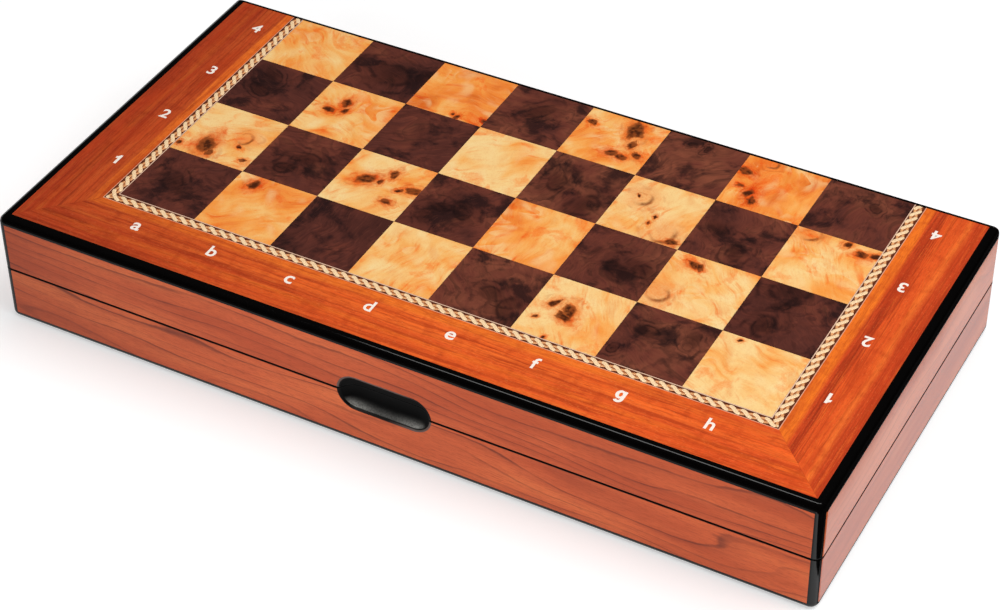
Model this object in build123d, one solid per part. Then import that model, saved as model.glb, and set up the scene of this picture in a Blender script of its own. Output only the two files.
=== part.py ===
from build123d import *
import math
import os

# A folding chess case: two shallow wooden trays hinged along one long side, drawn shut.
# The outer face of each tray carries one half of a chess board.
# X runs along the files from a to h, the hinge is at the back towards +Y, and Z is up.
# The origin is the centre of the underside. Every size is in millimetres.

# Board
square = 40.0
file_count = 8
ranks_per_half = 4
border_width = 40.0
case_height = 57.0

# Gaps between the two halves, at the rims when shut and at the backs when open
rim_gap = 0.3
hinge_gap = 0.3

# Walls, with the black edge that frames the playing face
wall_thickness = 9.0
edge_radius = 3.0
edge_flat = 2.2
back_edge_radius = 1.0
back_edge_flat = 1.0
corner_radius = 4.0
rim_radius = 0.4

# Panel, veneers and lining
panel_thickness = 4.0
veneer_thickness = 0.6
felt_thickness = 0.8
felt_clearance = 0.4
side_veneer_margin = 3.3
long_veneer_end = 4.0
short_veneer_end = 2.8

# Inlaid banding round the squares, with a thin string on each side of it
banding_width = 4.6
stringing_width = 0.5

# Finger recess in the front, centred on the split between the halves
recess_length = 44.2
recess_height = 16.4
recess_depth = 5.6
recess_lip = 1.2
recess_chamfer = 0.6

# Brass butt hinges let into the back rims
hinge_length = 30.0
hinge_inset = 75.0
knuckle_count = 3
knuckle_radius = 2.0
knuckle_gap = 0.15
knuckle_room = 0.3
hinge_pin_radius = 1.0
hinge_pin_clearance = 0.05
pin_head_radius = 1.5
pin_head_thickness = 0.5
leaf_thickness = 1.2
leaf_width = 8.0
leaf_clearance = 0.1

# Countersunk wood screws of the hinges
screw_radius = 1.0
screw_length = 8.0
screw_head_radius = 1.9
screw_head_height = 0.9
screw_clearance = 0.05
screw_spacing = 18.0
screw_tip_length = 1.6
screw_tip_radius = 0.2
slot_width = 0.5
slot_depth = 0.4

# Disc magnets in the front rims, which hold the case shut
magnet_radius = 2.5
magnet_thickness = 3.0
magnet_clearance = 0.05
magnet_sink = 0.1
magnet_spacing = 240.0

# Places worked out from the sizes above
lip_width = edge_radius + edge_flat
back_lip_width = back_edge_radius + back_edge_flat
inlay_width = banding_width + 2 * stringing_width
field_half = file_count * square / 2
half_width = field_half + border_width
case_depth = ranks_per_half * square + border_width - hinge_gap / 2
front = -case_depth / 2
back = case_depth / 2
field_front = front + border_width
split = case_height / 2
rim = split + rim_gap / 2
panel_top = case_height - veneer_thickness
panel_low = panel_top - panel_thickness
panel_back = back - back_lip_width
hinge_y = back + hinge_gap / 2
hinge_centres = {"left": hinge_inset - half_width, "right": half_width - hinge_inset}
knuckle_length = hinge_length / knuckle_count
overrun = 5.0


def block(x, y, z):
    """A box between two values on each axis."""
    size = (x[1] - x[0], y[1] - y[0], z[1] - z[0])
    centre = ((x[0] + x[1]) / 2, (y[0] + y[1]) / 2, (z[0] + z[1]) / 2)
    return Pos(*centre) * Box(*size)


def rod(radius, x, y, z):
    """A round bar along X between two values of x."""
    middle = (x[0] + x[1]) / 2
    return Pos(middle, y, z) * Rot(0, 90, 0) * Cylinder(radius, x[1] - x[0])


def disc(radius, x, y, z):
    """A round bar along Z between two heights."""
    return Pos(x, y, (z[0] + z[1]) / 2) * Cylinder(radius, z[1] - z[0])


def cone(low_radius, high_radius, x, y, z):
    """A cone along Z between two heights."""
    return Pos(x, y, (z[0] + z[1]) / 2) * Cone(low_radius, high_radius, z[1] - z[0])


def plate(corners, z):
    """A flat piece with the given corners between two heights."""
    outline = make_face(Polyline(*corners, close=True))
    return extrude(Pos(0, 0, z[0]) * outline, z[1] - z[0])


def group(pieces):
    """Several separate solids as one node."""
    return Compound(children=[solid for piece in pieces for solid in piece.solids()])


def rounded_block(inset, z):
    """The plan of the case with rounded corners, made smaller by an inset."""
    x = (inset - half_width, half_width - inset)
    whole = block(x, (front + inset, back - inset), z)
    return fillet(whole.edges().filter_by(Axis.Z), corner_radius - inset)


def outer_form():
    """The outside of the upper half: a wide round-over, but a narrow one at the hinge."""
    slim = rounded_block(0, (rim, case_height))
    slim = fillet(slim.edges().group_by(Axis.Z)[-1], back_edge_radius)
    slim = fillet(slim.edges().group_by(Axis.Z)[0], rim_radius)
    past_back = back + corner_radius + overrun
    wide = block((-half_width, half_width), (front, past_back), (rim, case_height))
    wide = fillet(wide.edges().filter_by(Axis.Z).group_by(Axis.Y)[0], corner_radius)
    top_edges = wide.edges().group_by(Axis.Z)[-1]
    wide = fillet(top_edges.sort_by(Axis.Y)[:-1], edge_radius)
    return slim & wide


def tray_ring(form):
    """The ring of the four walls, with the rebate that the panel drops into."""
    inner_x = (wall_thickness - half_width, half_width - wall_thickness)
    inner_y = (front + wall_thickness, back - wall_thickness)
    cavity = block(inner_x, inner_y, (rim - overrun, case_height + overrun))
    rebate_x = (lip_width - half_width, half_width - lip_width)
    rebate_y = (front + lip_width, panel_back)
    rebate = block(rebate_x, rebate_y, (panel_low, case_height + overrun))
    return form - cavity - rebate


def recess_outline(spread):
    """The outline of the finger recess at the front face, grown by a spread."""
    facing_inwards = Plane(origin=(0, front, split), x_dir=(1, 0, 0), z_dir=(0, 1, 0))
    outline = SlotOverall(recess_length + 2 * spread, recess_height + 2 * spread)
    return facing_inwards * outline


def recess_scoop():
    """The hollow of the recess: a ball-ended bar sunk into the front, with a chamfered edge."""
    half_height = recess_height / 2
    ball = (half_height**2 + recess_depth**2) / (2 * recess_depth)
    centre_y = front + recess_depth - ball
    run = recess_length / 2 - half_height
    scoop = rod(ball, (-run, run), centre_y, split)
    for x in (-run, run):
        scoop += Pos(x, centre_y, split) * Sphere(ball)
    reach = math.sqrt(ball**2 - (ball - recess_depth + recess_chamfer) ** 2)
    slope = math.atan2(half_height + recess_chamfer - reach, recess_chamfer)
    mouth = recess_outline(recess_chamfer)
    return scoop + extrude(mouth, recess_chamfer, taper=math.degrees(slope))


def side_facings(form):
    """The four thin veneers let into the outsides of the walls."""
    band_z = (rim - overrun, case_height - side_veneer_margin)
    core = rounded_block(veneer_thickness, band_z)
    across = (-half_width - overrun, half_width + overrun)
    along = (front - overrun, back + overrun)
    band = (form & block(across, along, band_z)) - core
    clear_x = (long_veneer_end - half_width, half_width - long_veneer_end)
    clear_y = (front + short_veneer_end, back - short_veneer_end)
    bare_mouth = extrude(recess_outline(recess_lip), overrun, both=True)
    return {
        "front": (band & block(clear_x, (along[0], clear_y[0]), band_z)) - bare_mouth,
        "back": band & block(clear_x, (clear_y[1], along[1]), band_z),
        "left": band & block((across[0], clear_x[0]), clear_y, band_z),
        "right": band & block((clear_x[1], across[1]), clear_y, band_z),
    }


def case_corner(grow, side_x, side_y):
    """A point on the 45 degree line through one corner of the case."""
    edge_y = back if side_y > 0 else front
    return (side_x * (half_width + grow), edge_y + side_y * grow)


def mitre_blocks():
    """One block round each wall, cut at 45 degrees through the corners of the case."""
    ends = {
        "front": [(-1, -1), (1, -1)],
        "back": [(-1, 1), (1, 1)],
        "left": [(-1, -1), (-1, 1)],
        "right": [(1, -1), (1, 1)],
    }
    inwards = -wall_thickness - overrun
    blocks = {}
    for side, (start, end) in ends.items():
        outline = [case_corner(overrun, *start), case_corner(overrun, *end)]
        outline += [case_corner(inwards, *end), case_corner(inwards, *start)]
        blocks[side] = plate(outline, (rim - overrun, case_height + overrun))
    return blocks


def hinge_room(centre):
    """What one hinge leaf and the knuckles take out of a back wall and its veneer."""
    reach = hinge_length / 2 + leaf_clearance
    mortise_y = (hinge_y - leaf_width - leaf_clearance, back + overrun)
    mortise = block((centre - reach, centre + reach), mortise_y, (rim - overrun, rim + leaf_thickness))
    notch_reach = hinge_length / 2 + pin_head_thickness + knuckle_room
    notch_x = (centre - notch_reach, centre + notch_reach)
    return mortise + rod(knuckle_radius + knuckle_room, notch_x, hinge_y, split)


def screw_places(centre):
    """The middles of the two screws in a leaf."""
    y = hinge_y - (leaf_width + knuckle_radius + knuckle_room) / 2
    return [(centre - screw_spacing / 2, y), (centre + screw_spacing / 2, y)]


def countersunk_screw(x, y, extra):
    """A countersunk wood screw driven up into the rim, grown by an extra radius."""
    head_end = rim + screw_head_height
    shank_end = rim + screw_length - screw_tip_length
    head = cone(screw_head_radius + extra, screw_radius + extra, x, y, (rim, head_end))
    shank = disc(screw_radius + extra, x, y, (head_end, shank_end))
    tip_z = (shank_end, rim + screw_length + extra)
    tip = cone(screw_radius + extra, screw_tip_radius + extra, x, y, tip_z)
    return head + shank + tip


def slotted_screw(x, y):
    """A hinge screw with the slot for its driver."""
    slot_x = (x - screw_head_radius, x + screw_head_radius)
    slot_y = (y - slot_width / 2, y + slot_width / 2)
    return countersunk_screw(x, y, 0) - block(slot_x, slot_y, (rim, rim + slot_depth))


def hinge_leaf(centre, knuckle_spans):
    """A leaf of the upper half: a plate flush with the rim, rolled round the pin."""
    leaf_z = (rim, rim + leaf_thickness)
    leaf_x = (centre - hinge_length / 2, centre + hinge_length / 2)
    leaf = block(leaf_x, (hinge_y - leaf_width, hinge_y - knuckle_radius - knuckle_room), leaf_z)
    for start, end in knuckle_spans:
        span = (centre + start, centre + end)
        leaf += block(span, (hinge_y - leaf_width, hinge_y), leaf_z)
        leaf += rod(knuckle_radius, span, hinge_y, split)
    leaf -= rod(hinge_pin_radius + hinge_pin_clearance, leaf_x, hinge_y, split)
    for x, y in screw_places(centre):
        leaf -= countersunk_screw(x, y, screw_clearance)
    return leaf


def hinge_pin(centre):
    """The pin through the knuckles, with a flat head at each end."""
    reach = hinge_length / 2
    pin = rod(hinge_pin_radius, (centre - reach, centre + reach), hinge_y, split)
    for start in (centre - reach - pin_head_thickness, centre + reach):
        pin += rod(pin_head_radius, (start, start + pin_head_thickness), hinge_y, split)
    return pin


def magnet_places():
    """The middles of the magnets, in the thickness of the front wall."""
    y = front + (wall_thickness + veneer_thickness) / 2
    return [(-magnet_spacing / 2, y), (magnet_spacing / 2, y)]


def walls_and_facings():
    """The walls and side veneers of the upper half, with everything that is cut into them."""
    form = outer_form()
    facings = side_facings(form)
    ring = tray_ring(form)
    for facing in facings.values():
        ring -= facing
    walls = {side: ring & wedge for side, wedge in mitre_blocks().items()}
    walls["front"] -= recess_scoop()
    pocket_z = (rim - overrun, rim + magnet_sink + magnet_thickness)
    for x, y in magnet_places():
        walls["front"] -= disc(magnet_radius + magnet_clearance, x, y, pocket_z)
    for centre in hinge_centres.values():
        walls["back"] -= hinge_room(centre)
        facings["back"] -= hinge_room(centre)
        for x, y in screw_places(centre):
            walls["back"] -= countersunk_screw(x, y, screw_clearance)
    return walls, facings


def frame_strips(inner, outer):
    """Mitred strips of veneer round three sides of the squares, between two offsets."""
    z = (panel_top, case_height)
    near_y = (field_front - outer, field_front - inner)
    near = [(-field_half - outer, near_y[0]), (field_half + outer, near_y[0])]
    near += [(field_half + inner, near_y[1]), (-field_half - inner, near_y[1])]
    strips = {"front": plate(near, z)}
    for side, sign in (("left", -1), ("right", 1)):
        outer_x = sign * (field_half + outer)
        inner_x = sign * (field_half + inner)
        outline = [(outer_x, near_y[0]), (inner_x, near_y[1])]
        outline += [(inner_x, panel_back), (outer_x, panel_back)]
        strips[side] = plate(outline, z)
    return strips


def squares(remainder):
    """The squares of one colour, chosen by whether file and rank add up to even or odd."""
    chosen = []
    for file in range(file_count):
        for rank in range(ranks_per_half):
            if (file + rank) % 2 != remainder:
                continue
            x = file * square - field_half
            y = field_front + rank * square
            y_end = min(y + square, panel_back)
            chosen.append(block((x, x + square), (y, y_end), (panel_top, case_height)))
    return group(chosen)


def playing_face():
    """The panel, its border, inlay and squares, and the felt on its inner side."""
    panel_x = (lip_width - half_width, half_width - lip_width)
    felt_inset = wall_thickness + felt_clearance
    felt_x = (felt_inset - half_width, half_width - felt_inset)
    felt_y = (front + felt_inset, back - felt_inset)
    borders = frame_strips(inlay_width, border_width - lip_width)
    banding = frame_strips(stringing_width, stringing_width + banding_width)
    inner_string = frame_strips(0, stringing_width)
    outer_string = frame_strips(inlay_width - stringing_width, inlay_width)
    pieces = {f"{side}_border": strip for side, strip in borders.items()}
    pieces["panel"] = block(panel_x, (front + lip_width, panel_back), (panel_low, panel_top))
    pieces["felt"] = block(felt_x, felt_y, (panel_low - felt_thickness, panel_low))
    pieces["banding"] = group(banding.values())
    pieces["stringing"] = group([*inner_string.values(), *outer_string.values()])
    pieces["dark_squares"] = squares(0)
    pieces["light_squares"] = squares(1)
    return pieces


def half_pieces():
    """Every piece that both halves have, placed in the upper half."""
    walls, facings = walls_and_facings()
    pieces = playing_face()
    pieces.update({f"{side}_wall": wall for side, wall in walls.items()})
    pieces.update({f"{side}_veneer": facing for side, facing in facings.items()})
    screws = [slotted_screw(*xy) for c in hinge_centres.values() for xy in screw_places(c)]
    magnet_z = (rim + magnet_sink, rim + magnet_sink + magnet_thickness)
    magnets = [disc(magnet_radius, x, y, magnet_z) for x, y in magnet_places()]
    pieces["hinge_screws"] = group(screws)
    pieces["magnets"] = group(magnets)
    return pieces


def case_pieces():
    """The whole case. The lower half mirrors the upper one, with its squares changed over."""
    mirror_plane = Plane.XY.offset(split)
    swapped = {"dark_squares": "light_squares", "light_squares": "dark_squares"}
    pieces = {}
    for name, piece in half_pieces().items():
        pieces[f"upper_{name}"] = piece
        pieces[f"lower_{swapped.get(name, name)}"] = mirror(piece, about=mirror_plane)
    inner = knuckle_length / 2 - knuckle_gap / 2
    outer = knuckle_length / 2 + knuckle_gap / 2
    reach = hinge_length / 2
    for side, centre in hinge_centres.items():
        upper_leaf = hinge_leaf(centre, [(-inner, inner)])
        lower_leaf = hinge_leaf(centre, [(-reach, -outer), (outer, reach)])
        pieces[f"upper_{side}_hinge_leaf"] = upper_leaf
        pieces[f"lower_{side}_hinge_leaf"] = mirror(lower_leaf, about=mirror_plane)
        pieces[f"{side}_hinge_pin"] = hinge_pin(centre)
    return pieces


os.makedirs("parts", exist_ok=True)
for node, shape in case_pieces().items():
    export_step(shape, f"parts/{node}.step")
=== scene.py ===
import math

import bmesh
import bpy
from bpy.props import FloatProperty, FloatVectorProperty, PointerProperty
from mathutils import Matrix, Vector, noise


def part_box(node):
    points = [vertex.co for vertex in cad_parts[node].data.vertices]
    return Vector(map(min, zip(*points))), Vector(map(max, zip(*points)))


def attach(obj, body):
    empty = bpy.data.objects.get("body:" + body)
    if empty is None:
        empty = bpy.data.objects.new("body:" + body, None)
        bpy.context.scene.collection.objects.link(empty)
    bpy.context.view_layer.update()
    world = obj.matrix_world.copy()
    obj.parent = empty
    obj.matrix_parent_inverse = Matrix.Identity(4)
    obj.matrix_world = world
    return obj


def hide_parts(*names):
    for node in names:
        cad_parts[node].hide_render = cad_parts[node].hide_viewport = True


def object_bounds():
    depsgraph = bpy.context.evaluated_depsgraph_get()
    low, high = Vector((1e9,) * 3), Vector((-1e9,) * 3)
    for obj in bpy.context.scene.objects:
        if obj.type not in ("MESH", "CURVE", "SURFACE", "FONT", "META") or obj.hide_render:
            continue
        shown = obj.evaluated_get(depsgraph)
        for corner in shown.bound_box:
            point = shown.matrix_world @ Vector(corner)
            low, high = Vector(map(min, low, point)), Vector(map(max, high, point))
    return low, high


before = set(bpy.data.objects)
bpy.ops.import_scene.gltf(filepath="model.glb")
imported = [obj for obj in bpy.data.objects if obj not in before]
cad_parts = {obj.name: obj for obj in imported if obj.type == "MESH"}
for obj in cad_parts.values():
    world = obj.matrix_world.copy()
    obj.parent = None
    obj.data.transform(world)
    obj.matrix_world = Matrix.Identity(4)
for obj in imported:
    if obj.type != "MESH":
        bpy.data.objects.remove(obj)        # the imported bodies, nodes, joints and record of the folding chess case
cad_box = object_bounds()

bl_info = {
    "name": "Folding Chess Case",
    "version": (1, 0, 0),
    "blender": (4, 5, 0),
    "location": "View3D > Sidebar > Chess Case",
    "description": "Finishes a folding chess case: veneers, braid inlay, figures, felt and lacquer",
    "category": "Object",
}

MM = 0.001
HALVES = ("upper", "lower")
SIDES = ("front", "left", "right")
ORIGIN = (0.0, 0.0, 0.0)
WHITE = (1.0, 1.0, 1.0, 1.0)

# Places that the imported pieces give, in metres
field_low = Vector(map(min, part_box("upper_dark_squares")[0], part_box("upper_light_squares")[0]))
field_high = Vector(map(max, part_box("upper_dark_squares")[1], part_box("upper_light_squares")[1]))
square = (field_high.x - field_low.x) / 8
field_half = field_high.x
field_front = field_low.y
veneer_thickness = field_high.z - field_low.z
band_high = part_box("upper_banding")[1]
string_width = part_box("upper_stringing")[1].x - band_high.x
band_inner = field_half + string_width
band_width = band_high.x - band_inner
band_middle = band_inner + band_width / 2
case_half = cad_box[1].x
case_front = cad_box[0].y
case_height = cad_box[1].z
split = case_height / 2

# The same places in mm, for the materials
field_half_mm, field_front_mm = field_half / MM, field_front / MM
string_mm, band_mm = string_width / MM, band_width / MM
case_half_mm, case_front_mm, split_mm = case_half / MM, case_front / MM, split / MM
side_veneer_top_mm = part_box("upper_right_veneer")[1].z / MM - split_mm

# Finger recess of the front walls: a slot with round ends, in mm
RECESS_RADIUS = 8.2
RECESS_RUN = 13.9
RECESS_LIP = 1.2
RECESS_INNER = 6.0       # just further in than the deepest point of the scoop

PANEL_EDGE = 94.0        # the panels show their plies further out than this, in mm
SEED_STEP = 17.3         # from one leaf of burl to the next
UNDERSIDE_SEED = 400.0   # what the leaves of the lower half have on top
RANK_PLACE = 0.53        # where a rank figure stands, as a share of its square from the front
FLOOR_HALF = 4.0
FLOOR_DROP = 0.1 * MM    # keeps the floor clear of the figures printed on the underside

# The camera that took the view, fitted to the corners of the squares
FRAME_WIDTH_PX = 1000
FRAME_HEIGHT_PX = 610
FOCAL_PX = 2613.35
PRINCIPAL_PX = (460.92, 264.02)
SENSOR_WIDTH_MM = 36.0
CAMERA_PLACE = (0.44038, -0.79685, 0.77630)
CAMERA_TURN_DEGREES = (50.7844, 1.1383, 28.9655)


def paint(code):
    """The linear colour, with alpha, of a hex colour code."""
    parts = [int(code[i:i + 2], 16) / 255 for i in (1, 3, 5)]
    return tuple(((p + 0.055) / 1.055) ** 2.4 if p > 0.04045 else p / 12.92 for p in parts) + (1.0,)


def size(name, description, default_mm):
    """A length that a user can change."""
    return FloatProperty(name=name, description=description, default=default_mm * MM, unit="LENGTH",
                         subtype="DISTANCE", precision=5)


def colour(name, description, code):
    """A colour that a user can change."""
    return FloatVectorProperty(name=name, description=description, default=paint(code), size=4,
                               min=0.0, max=1.0, subtype="COLOR")


class ChessCaseSizes(bpy.types.PropertyGroup):
    """Sizes of what is laid into the case and printed on it."""

    strand_width: size("Strand width", "Width of a strand where it lies on top", 1.9)
    under_width: size("Under width", "Width of a strand where it passes under", 1.2)
    crossing_spacing: size("Crossing spacing", "Distance between crossings of the braid", 5.267)
    first_crossing: size("First crossing", "How far outside the squares' corner the braid crosses", 0.65)
    strand_swing: size("Strand swing", "How far a strand goes to each side of the middle", 1.33)
    right_strip_inset: size("Right strip inset", "How much nearer to the squares the right strip lies", 0.3)
    strand_relief: size("Strand relief", "How far a strand rises and dips at a crossing", 0.06)
    strand_depth: size("Strand depth", "Thickness of a strand", 0.22)
    ground_depth: size("Ground depth", "How far the dark ground lies under the strands' tops", 0.2)
    seam: size("Veneer seam", "Width of the glue line between two squares", 0.08)
    letter_height: size("Letter height", "Height of the tall letters of the border", 6.6)
    low_letter_height: size("Low letter height", "Height of a capital beside the low letters", 7.2)
    letter_line: size("Letter line", "Distance of the letters' foot from the squares", 18.6)
    figure_height: size("Figure height", "Height of the rank figures", 6.2)
    figure_line: size("Figure line", "Distance of the rank figures' middle from the squares", 16.4)
    print_weight: size("Print weight", "How far the strokes of the figures are thickened", 0.19)
    print_thickness: size("Print thickness", "Thickness of the printed figures", 0.02)
    felt_wave: size("Felt wave", "Unevenness of the felt lining", 0.14)


class ChessCaseColours(bpy.types.PropertyGroup):
    """Colours of the case's finishes."""

    lacquer: colour("Lacquer", "Black of the lacquered edges", "#040303")
    figures: colour("Figures", "White of the printed letters and figures", "#FFF4E8")
    strand_over: colour("Strand over", "Cream of the strands where they cross over", "#FFDCAE")
    strand_under: colour("Strand under", "Tan of the strands where they pass under", "#E8A46C")
    inlay_ground: colour("Inlay ground", "Dark ground at the sides of the braid inlay", "#66301A")
    string: colour("String", "Pale lines at each side of the braid", "#F4CDB0")
    felt: colour("Felt", "Dark green of the lining", "#1D3B2A")
    brass: colour("Brass", "Yellow of the hinges and screws", "#D8AE62")
    nickel: colour("Nickel", "Grey of the magnets", "#C9C7C2")


def sizes():
    """The case's sizes, in metres."""
    return bpy.context.scene.chess_case_sizes


def chosen(name):
    """One of the case's colours."""
    return tuple(getattr(bpy.context.scene.chess_case_colours, name))


class Wire:
    """An output of a node. Sums, products and comparisons of wires and plain numbers add Math nodes."""

    def __init__(self, graph, socket):
        self.graph = graph
        self.socket = socket

    def __abs__(self):
        return self.graph.math("ABSOLUTE", self)

    def between(self, low, high, to_low=0.0, to_high=1.0, kind="SMOOTHSTEP"):
        """Goes from one value to another while the wire goes from low to high."""
        inputs = {"Value": self, "From Min": low, "From Max": high, "To Min": to_low, "To Max": to_high}
        return self.graph.add("ShaderNodeMapRange", inputs, "Result", interpolation_type=kind)


def arithmetic(operation, swapped=False):
    """A method of Wire that adds one Math node. Where it is swapped, the wire comes second."""
    def method(wire, other):
        return wire.graph.math(operation, *((other, wire) if swapped else (wire, other)))

    return method


for sign, operation in (("add", "ADD"), ("sub", "SUBTRACT"), ("mul", "MULTIPLY"), ("truediv", "DIVIDE")):
    setattr(Wire, f"__{sign}__", arithmetic(operation))
    setattr(Wire, f"__r{sign}__", arithmetic(operation, swapped=True))
for sign, operation in (("pow", "POWER"), ("gt", "GREATER_THAN"), ("lt", "LESS_THAN")):
    setattr(Wire, f"__{sign}__", arithmetic(operation))


class Graph:
    """Adds nodes to one tree. An input is a plain value, a hex colour code or a wire."""

    def __init__(self, tree):
        self.tree = tree

    @staticmethod
    def socket(sockets, key):
        """The socket at a place, or with an identifier or a name."""
        if isinstance(key, int):
            return sockets[key]
        for word in ("identifier", "name"):
            for one in sockets:
                if getattr(one, word) == key and one.enabled:
                    return one
        raise KeyError(f"no socket {key} among {[one.name for one in sockets]}")

    def fill(self, node, inputs):
        """Gives a node its inputs."""
        for key, value in inputs.items():
            into = self.socket(node.inputs, key)
            if isinstance(value, Wire):
                self.tree.links.new(value.socket, into)
            else:
                is_code = isinstance(value, str) and value.startswith("#")
                into.default_value = paint(value) if is_code else value

    def place(self, kind, inputs=None, **settings):
        """A new node, with its settings and its inputs."""
        node = self.tree.nodes.new(kind)
        for name, value in settings.items():
            setattr(node, name, value)
        self.fill(node, inputs or {})
        return node

    def add(self, kind, inputs=None, output=0, **settings):
        """One output of a new node."""
        return Wire(self, self.socket(self.place(kind, inputs, **settings).outputs, output))

    def outputs(self, kind, inputs=None, **settings):
        """All outputs of a new node, by name."""
        return {one.name: Wire(self, one) for one in self.place(kind, inputs, **settings).outputs}

    def group(self, build, inputs):
        """The outputs of a shader node group that is placed with its own values."""
        return self.outputs("ShaderNodeGroup", inputs, node_tree=shader_group(build))

    def math(self, operation, *values):
        return self.add("ShaderNodeMath", dict(enumerate(values)), operation=operation)

    def larger(self, a, b):
        return self.math("MAXIMUM", a, b)

    def vector(self, operation, *values, output="Vector"):
        return self.add("ShaderNodeVectorMath", dict(enumerate(values)), output, operation=operation)

    def dot(self, a, b):
        return self.vector("DOT_PRODUCT", a, b, output="Value")

    def length(self, vector):
        return self.vector("LENGTH", vector, output="Value")

    def scaled(self, vector, scale):
        return self.add("ShaderNodeVectorMath", {0: vector, "Scale": scale}, operation="SCALE")

    def combine(self, x, y, z=0.0):
        return self.add("ShaderNodeCombineXYZ", {0: x, 1: y, 2: z})

    def turned(self, angle):
        """The flat direction at an angle."""
        return self.combine(self.math("COSINE", angle), self.math("SINE", angle))

    def separate(self, vector):
        return list(self.outputs("ShaderNodeSeparateXYZ", {0: vector}).values())

    def attribute(self, name, output="Fac"):
        return self.add("ShaderNodeAttribute", output=output, attribute_name=name)

    def mix(self, share, a, b, blend="MIX"):
        return self.add("ShaderNodeMix", {"Factor_Float": share, "A_Color": a, "B_Color": b},
                        "Result_Color", data_type="RGBA", blend_type=blend)

    def layered(self, base, *layers):
        """A colour under layers that each have a share, a colour and, where it isn't MIX, a way to blend."""
        for share, over, *blend in layers:
            base = self.mix(share, base, over, *blend)
        return base

    def blend(self, share, a, b):
        return self.add("ShaderNodeMix", {"Factor_Float": share, "A_Float": a, "B_Float": b},
                        "Result_Float", data_type="FLOAT")

    def noise(self, vector, scale, detail=2.0, roughness=0.5, output="Fac"):
        return self.add("ShaderNodeTexNoise", {"Vector": vector, "Scale": scale, "Detail": detail,
                                               "Roughness": roughness}, output)

    def drawn_out(self, along, length, across, breadth, leaf, detail, roughness=0.5):
        """Noise whose spots have a length along the grain and a breadth across it, in mm."""
        return self.noise(self.combine(along / length, across / breadth, leaf), 1.0, detail, roughness)

    def wander(self, vector, scale, reach, detail=1.0):
        """A point that strays from its place by up to about half the reach."""
        stray = self.vector("SUBTRACT", self.noise(vector, scale, detail, output="Color"), (0.5, 0.5, 0.5))
        return self.vector("ADD", vector, self.scaled(stray, reach))

    def ramp(self, value, *stops):
        """A colour by value, through stops that each have a place and a hex colour."""
        node = self.place("ShaderNodeValToRGB", {0: value})
        elements = node.color_ramp.elements
        while len(elements) < len(stops):
            elements.new(0.5)
        for element, (place, code) in zip(elements, stops):
            element.position = place
            element.color = paint(code)
        return Wire(self, node.outputs[0])


def takes(inputs):
    """Notes the named inputs and their defaults on a function that builds a shader node group."""
    def noted(build):
        build.inputs = inputs
        return build

    return noted


def shader_group(build):
    """The shader node group that a function builds, made once and named after it. It puts out numbers."""
    name = build.__name__.replace("_", " ")
    if name in bpy.data.node_groups:
        return bpy.data.node_groups[name]
    tree = bpy.data.node_groups.new(name, "ShaderNodeTree")
    for label, value in build.inputs.items():
        kind = "NodeSocketFloat" if isinstance(value, float) else "NodeSocketVector"
        tree.interface.new_socket(label, in_out="INPUT", socket_type=kind).default_value = value
    g = Graph(tree)
    made = build(g, g.outputs("NodeGroupInput"))
    for label in made:
        tree.interface.new_socket(label, in_out="OUTPUT", socket_type="NodeSocketFloat")
    g.place("NodeGroupOutput", made)
    return tree


@takes({"Place": ORIGIN, "Eye": ORIGIN})
def burl_eye(g, given):
    """One eye of a burl: a dark heart, or a thin rim where its radius is negative, with rings and a halo."""
    x, y, radius = g.separate(given["Eye"])
    flat = g.vector("MULTIPLY", given["Place"], (1.0, 1.0, 0.0))
    outwards = g.vector("SUBTRACT", flat, g.combine(x, y))
    reach = abs(radius)
    there = reach > 0.05
    hollow = radius < 0.0
    long_way = g.turned((x + y) * 2.1)
    along = g.dot(outwards, long_way) * g.blend(hollow, 0.36, 0.14)
    drawn = g.vector("SUBTRACT", outwards, g.scaled(long_way, along))
    scaled = g.scaled(drawn, 1.0 / (reach + 0.01))
    lump = g.noise(g.vector("ADD", scaled, g.combine(y, x, 3.0)), 1.05, 3.0, 0.55)
    distance = g.length(scaled)
    away = distance * (1.0 + (lump - 0.5) * g.blend(hollow, 1.5, 0.5))
    edge = abs(away - 1.0).between(0.36, 0.0)
    shaded = g.dot(scaled, (0.8, -0.6, 0.0)).between(-0.3, 1.0, 0.04, 1.0)
    sway = g.noise(g.vector("ADD", scaled, g.combine(x, y, 7.0)), 0.5, 0.0)
    oval = distance * (0.45 + sway * 1.1)
    turns = g.math("PINGPONG", oval * 1.15, 0.5)
    marks = {
        "Heart": away.between(1.3, 0.4) * (1.0 - hollow),
        "Rim": edge * hollow * (shaded * lump.between(0.36, 0.6, 0.4, 1.0)),
        "Lines": turns.between(0.34, 0.02) * oval.between(3.0, 1.3),
        "Halo": away.between(3.0, 0.7) * g.blend(hollow, 1.0, 0.6),
    }
    return {label: mark * there for label, mark in marks.items()}


EYES_IN_A_SQUARE = 6
EYES = [f"Eye {number + 1}" for number in range(EYES_IN_A_SQUARE)]


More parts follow.
